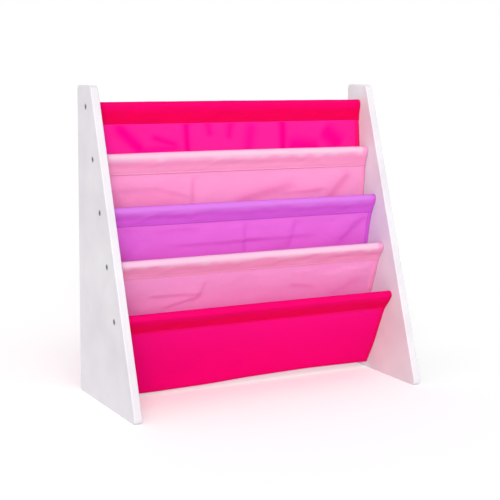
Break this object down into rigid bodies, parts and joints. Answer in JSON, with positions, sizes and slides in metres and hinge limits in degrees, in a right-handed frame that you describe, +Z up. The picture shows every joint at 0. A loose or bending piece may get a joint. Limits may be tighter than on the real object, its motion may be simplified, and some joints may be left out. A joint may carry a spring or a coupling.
{
  "type": "sling bookshelf",
  "caption": "Low children's book rack: two tapered side panels, rods screwed between them, and a cloth sling hung in stepped pockets that show book covers forward.",
  "frame": {"origin": "on the floor under the middle of the rack's box", "axes": "+X across the rack from the left panel to the right one, +Y to its back, +Z up"},
  "size_m": [0.635, 0.2744, 0.605],
  "materials": {
    "painted_board": "satin white paint on fibreboard",
    "painted_rod": "satin white paint on turned wood",
    "screw_steel": "zinc plated",
    "insert_brass": "turned",
    "magenta_cloth": "woven polyester, matt",
    "light_pink_cloth": "woven polyester, matt",
    "purple_cloth": "woven polyester, matt"
  },
  "bodies": {
    "root": {"left_side_panel": "painted_board", "right_side_panel": "painted_board", "rod_1": "painted_rod", "rod_2": "painted_rod", "rod_3": "painted_rod", "rod_4": "painted_rod", "rod_5": "painted_rod", "left_screw_1": "screw_steel", "left_screw_2": "screw_steel", "left_screw_3": "screw_steel", "left_screw_4": "screw_steel", "left_screw_5": "screw_steel", "right_screw_1": "screw_steel", "right_screw_2": "screw_steel", "right_screw_3": "screw_steel", "right_screw_4": "screw_steel", "right_screw_5": "screw_steel", "left_insert_1": "insert_brass", "left_insert_2": "insert_brass", "left_insert_3": "insert_brass", "left_insert_4": "insert_brass", "left_insert_5": "insert_brass", "right_insert_1": "insert_brass", "right_insert_2": "insert_brass", "right_insert_3": "insert_brass", "right_insert_4": "insert_brass", "right_insert_5": "insert_brass", "sleeve_1": "magenta_cloth", "back_sheet": "magenta_cloth", "front_sheet": "magenta_cloth", "bottom_fold": "magenta_cloth", "sleeve_5": "magenta_cloth", "sleeve_2": "light_pink_cloth", "upper_divider": "light_pink_cloth", "sleeve_4": "light_pink_cloth", "lower_divider": "light_pink_cloth", "sleeve_3": "purple_cloth", "middle_divider": "purple_cloth"}
  },
  "joints": []
}
